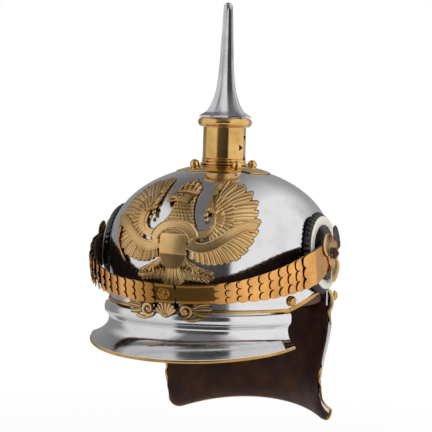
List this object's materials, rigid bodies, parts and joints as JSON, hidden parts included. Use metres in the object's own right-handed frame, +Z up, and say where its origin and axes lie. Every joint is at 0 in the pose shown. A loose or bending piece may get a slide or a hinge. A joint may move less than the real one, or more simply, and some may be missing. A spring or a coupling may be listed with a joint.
{
  "type": "cuirassier helmet",
  "caption": "Steel cavalry helmet with peak, long neck guard, fluted spike on a brass neck, relief front plate, cockades and hinged brass chin scales.",
  "frame": {"origin": "middle of the head opening: on the spike's axis, level with the brow line where skull and peak join", "axes": "+Z up along the spike, -Y forward out of the peak, +X the wearer's left"},
  "size_m": [0.224, 0.2674, 0.3816],
  "materials": {
    "steel": "polished mirror-bright steel sheet",
    "bright_steel": "polished steel, turned or forged",
    "trim_brass": "polished brass",
    "spike_brass": "polished brass, warm",
    "scale_brass": "worn brass, reddish where it is rubbed",
    "gilt": "matt gilt, stamped relief",
    "cockade_black": "gloss black",
    "cockade_silver": "silver grey",
    "knob_dark": "dark brown, glossy",
    "strap_leather": "dark brown",
    "lining_leather": "dark red-brown, smooth",
    "liner_leather": "brown, matt"
  },
  "bodies": {
    "shell": {"skull": "steel", "visor": "steel", "visor_lining": "lining_leather", "visor_trim": "trim_brass", "front_rail": "trim_brass", "neck_guard": "steel", "neck_guard_lining": "lining_leather", "neck_guard_trim": "trim_brass", "arch_trims": "trim_brass", "side_studs": "trim_brass", "spike_base": "spike_brass", "base_studs": "spike_brass", "spike_neck": "spike_brass", "spike_socket": "spike_brass", "front_eagle": "gilt", "eagle_posts": "gilt", "eagle_nuts": "bright_steel", "front_scroll": "gilt", "left_cockade": "cockade_black", "right_cockade": "cockade_black", "left_cockade_ring": "cockade_silver", "right_cockade_ring": "cockade_silver", "left_post": "bright_steel", "right_post": "bright_steel", "left_knob": "knob_dark", "right_knob": "knob_dark", "post_nuts": "bright_steel", "sweatband": "liner_leather", "crown_tongues": "liner_leather"},
    "ring": {"spike_ring": "spike_brass"},
    "spike": {"spike": "bright_steel"},
    "left_end": {"left_end_scale": "scale_brass", "left_rosette": "scale_brass", "left_end_leather": "strap_leather"},
    "left_rear": {"left_rear_scales": "scale_brass", "left_rear_leather": "strap_leather"},
    "left_front": {"left_front_scales": "scale_brass", "left_front_leather": "strap_leather", "left_end_plate": "scale_brass"},
    "right_end": {"right_end_scale": "scale_brass", "right_rosette": "scale_brass", "right_end_leather": "strap_leather"},
    "right_rear": {"right_rear_scales": "scale_brass", "right_rear_leather": "strap_leather"},
    "right_front": {"right_front_scales": "scale_brass", "right_front_leather": "strap_leather", "right_end_plate": "scale_brass"}
  },
  "joints": [
    {"name": "ring_lift", "type": "slide", "parent": "shell", "child": "ring", "axis": [0, 0, 1], "range_m": [0, 0.01]},
    {"name": "spike_turn", "type": "hinge", "parent": "ring", "child": "spike", "pos_m": [0, 0, 0.16], "axis": [0, 0, 1], "range_deg": [0, 1442]},
    {"name": "left_swing", "type": "hinge", "parent": "shell", "child": "left_end", "pos_m": [0, -0.009, 0.049], "axis": [-1, 0, 0], "range_deg": [0, 75]},
    {"name": "left_open", "type": "hinge", "parent": "left_end", "child": "left_rear", "pos_m": [0.09751, -0.06133, 0.03419], "axis": [0, -0.2723, 0.9622], "range_deg": [0, 22]},
    {"name": "left_flex", "type": "hinge", "parent": "left_rear", "child": "left_front", "pos_m": [0.07212, -0.09846, 0.02368], "axis": [0, -0.2723, 0.9622], "range_deg": [0, 17.7]},
    {"name": "right_swing", "type": "hinge", "parent": "shell", "child": "right_end", "pos_m": [0, -0.009, 0.049], "axis": [-1, 0, 0], "range_deg": [0, 75]},
    {"name": "right_open", "type": "hinge", "parent": "right_end", "child": "right_rear", "pos_m": [-0.09751, -0.06133, 0.03419], "axis": [0, -0.2723, 0.9622], "range_deg": [-22, 0]},
    {"name": "right_flex", "type": "hinge", "parent": "right_rear", "child": "right_front", "pos_m": [-0.07212, -0.09846, 0.02368], "axis": [0, -0.2723, 0.9622], "range_deg": [-17.7, 0]}
  ],
  "couplings": [
    {"joint": "spike_turn", "follows": "ring_lift", "rad_per_m": 2513.3},
    {"joint": "left_flex", "follows": "left_open", "ratio": 0.8},
    {"joint": "right_flex", "follows": "right_open", "ratio": 0.8}
  ]
}
